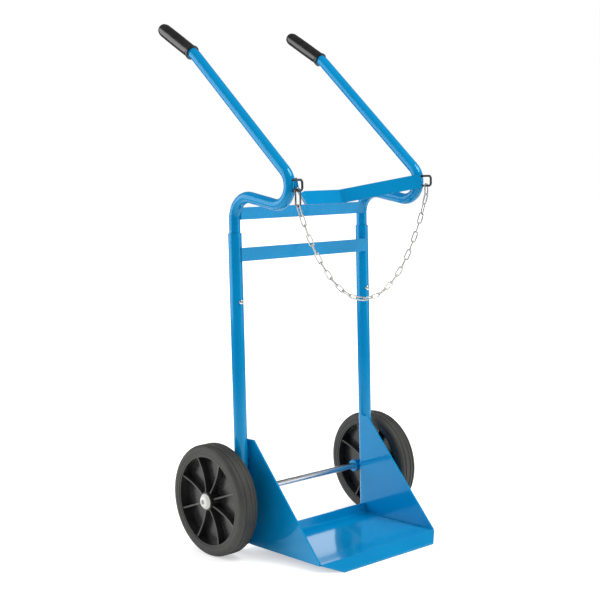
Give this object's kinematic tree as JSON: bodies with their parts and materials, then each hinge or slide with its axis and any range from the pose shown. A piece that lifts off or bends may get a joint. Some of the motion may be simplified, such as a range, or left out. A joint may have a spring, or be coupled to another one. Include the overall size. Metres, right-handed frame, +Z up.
{
  "type": "gas cylinder trolley",
  "caption": "Two-wheeled tubular gas cylinder trolley with toe plate, side gussets, bent cradle bar, safety chain and telescopic upper frame with bent handles.",
  "frame": {"origin": "on the floor under the middle of the trolley's outline", "axes": "+X across to the trolley's right wheel as seen from the toe plate's open side looking back, -Y towards the toe plate's lip, +Z up"},
  "size_m": [0.5686, 0.5214, 1.1903],
  "materials": {
    "blue_paint": "glossy enamel",
    "bright_axle": "bright plated",
    "zinc_steel": "zinc plated",
    "zinc_chain": "zinc plated",
    "eye_steel": "dark oxide",
    "hook_steel": "dull plated",
    "tyre_rubber": "matt rubber",
    "rim_plastic": "moulded satin",
    "bush_nylon": "natural nylon",
    "cap_plastic": "white gloss",
    "grip_vinyl": "dipped vinyl"
  },
  "bodies": {
    "chassis": {"lower_crossbar": "blue_paint", "toe_plate": "blue_paint", "axle": "bright_axle", "lower_upright_left": "blue_paint", "side_gusset_left": "blue_paint", "axle_sleeve_left": "blue_paint", "axle_spacer_left": "zinc_steel", "lock_screw_left": "zinc_steel", "hub_cap_left": "cap_plastic", "lower_upright_right": "blue_paint", "side_gusset_right": "blue_paint", "axle_sleeve_right": "blue_paint", "axle_spacer_right": "zinc_steel", "lock_screw_right": "zinc_steel", "hub_cap_right": "cap_plastic"},
    "handle_frame": {"upper_crossbar": "blue_paint", "cradle_bar": "blue_paint", "handle_tube_left": "blue_paint", "grip_left": "grip_vinyl", "chain_eye_left": "eye_steel", "handle_tube_right": "blue_paint", "grip_right": "grip_vinyl", "chain_eye_right": "eye_steel"},
    "wheel_left": {"tyre_left": "tyre_rubber", "rim_left": "rim_plastic", "hub_bush_left": "bush_nylon"},
    "wheel_right": {"tyre_right": "tyre_rubber", "rim_right": "rim_plastic", "hub_bush_right": "bush_nylon"},
    "chain": {"chain_links": "zinc_chain", "snap_hook": "hook_steel"},
    "hook_gate": {"hook_gate": "hook_steel", "gate_pin": "hook_steel"}
  },
  "joints": [
    {"name": "handle_slide", "type": "slide", "parent": "chassis", "child": "handle_frame", "axis": [0, 0, 1], "range_m": [-0.025, 0.12]},
    {"name": "wheel_left_spin", "type": "hinge", "parent": "chassis", "child": "wheel_left", "pos_m": [-0.249, 0.03864, 0.125], "axis": [1, 0, 0], "continuous": true},
    {"name": "wheel_right_spin", "type": "hinge", "parent": "chassis", "child": "wheel_right", "pos_m": [0.249, 0.03864, 0.125], "axis": [1, 0, 0], "continuous": true},
    {"name": "chain_swing", "type": "hinge", "parent": "handle_frame", "child": "chain", "pos_m": [0, -0.20062, 0.81315], "axis": [1, 0, 0], "range_deg": [-75, 25]},
    {"name": "gate_hinge", "type": "hinge", "parent": "chain", "child": "hook_gate", "pos_m": [-0.2015, -0.20062, 0.78515], "axis": [0, 1, 0], "range_deg": [0, 25], "stiffness_Nm_per_rad": 0.02, "springref_deg": -17.19}
  ]
}
